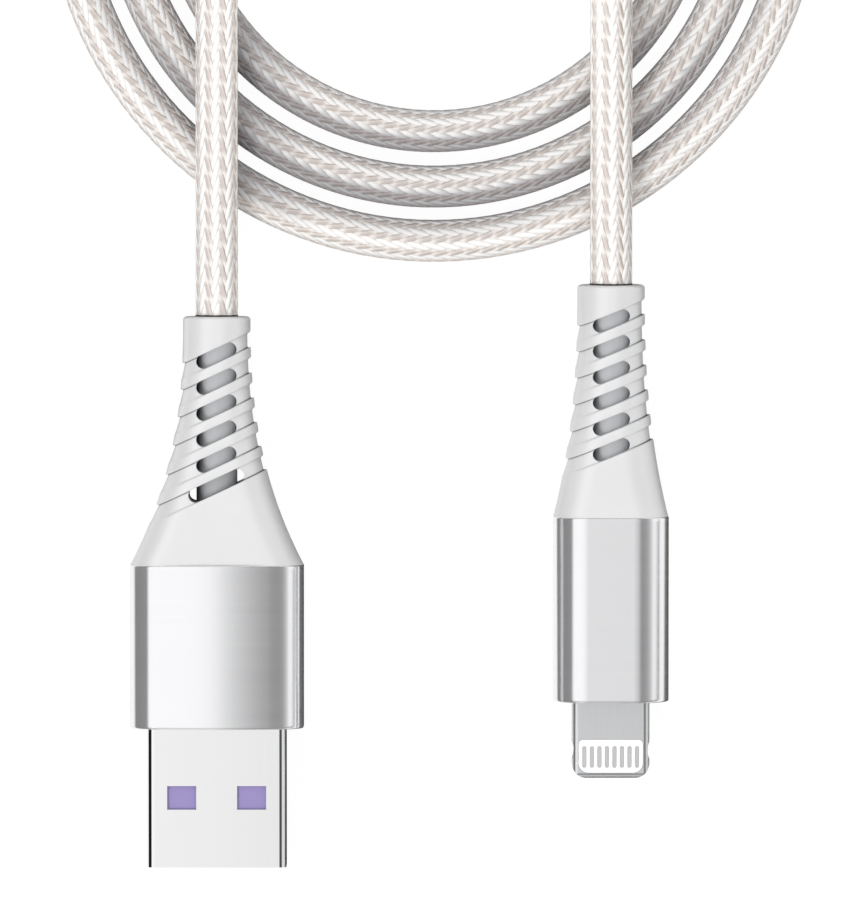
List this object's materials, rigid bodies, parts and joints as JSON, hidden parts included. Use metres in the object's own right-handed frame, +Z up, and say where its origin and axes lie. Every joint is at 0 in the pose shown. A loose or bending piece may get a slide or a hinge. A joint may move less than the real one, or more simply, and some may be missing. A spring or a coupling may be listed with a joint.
{
  "type": "charging cable",
  "caption": "Braided charging cable wound in a flat coil, with a type-A charger plug and a small flat phone plug in metal housings, each with a slotted flared strain relief.",
  "frame": {"origin": "on the table, in the middle of the box round the two plugs", "axes": "+X from the charger plug to the phone plug, +Y from the plugs' noses to the coil, +Z up from the table"},
  "size_m": [0.0674, 0.1174, 0.01],
  "materials": {
    "shell_steel": "satin",
    "tongue_plastic": "satin",
    "housing_aluminium": "satin anodised",
    "inner_mould": "matte",
    "relief_plastic": "soft matte",
    "core_plastic": "matte",
    "tab_steel": "satin",
    "bed_plastic": "gloss",
    "charger_contact": "plated",
    "phone_contact": "plated",
    "cord_braid": "braided yarn"
  },
  "bodies": {
    "root": {"charger_plug_shell": "shell_steel", "charger_plug_tongue": "tongue_plastic", "charger_housing": "housing_aluminium", "charger_inner_mould": "inner_mould", "charger_strain_relief": "relief_plastic", "charger_cord_core": "core_plastic", "phone_tab_frame": "tab_steel", "phone_contact_bed": "bed_plastic", "phone_housing": "housing_aluminium", "phone_inner_mould": "inner_mould", "phone_strain_relief": "relief_plastic", "phone_cord_core": "core_plastic", "cord_charger_leg": "cord_braid", "cord_coil": "cord_braid", "cord_phone_leg": "cord_braid", "charger_contact_1": "charger_contact", "charger_contact_2": "charger_contact", "charger_contact_3": "charger_contact", "charger_contact_4": "charger_contact", "phone_contact_front_1": "phone_contact", "phone_contact_front_2": "phone_contact", "phone_contact_front_3": "phone_contact", "phone_contact_front_4": "phone_contact", "phone_contact_front_5": "phone_contact", "phone_contact_front_6": "phone_contact", "phone_contact_front_7": "phone_contact", "phone_contact_front_8": "phone_contact", "phone_contact_back_1": "phone_contact", "phone_contact_back_2": "phone_contact", "phone_contact_back_3": "phone_contact", "phone_contact_back_4": "phone_contact", "phone_contact_back_5": "phone_contact", "phone_contact_back_6": "phone_contact", "phone_contact_back_7": "phone_contact", "phone_contact_back_8": "phone_contact"}
  },
  "joints": []
}
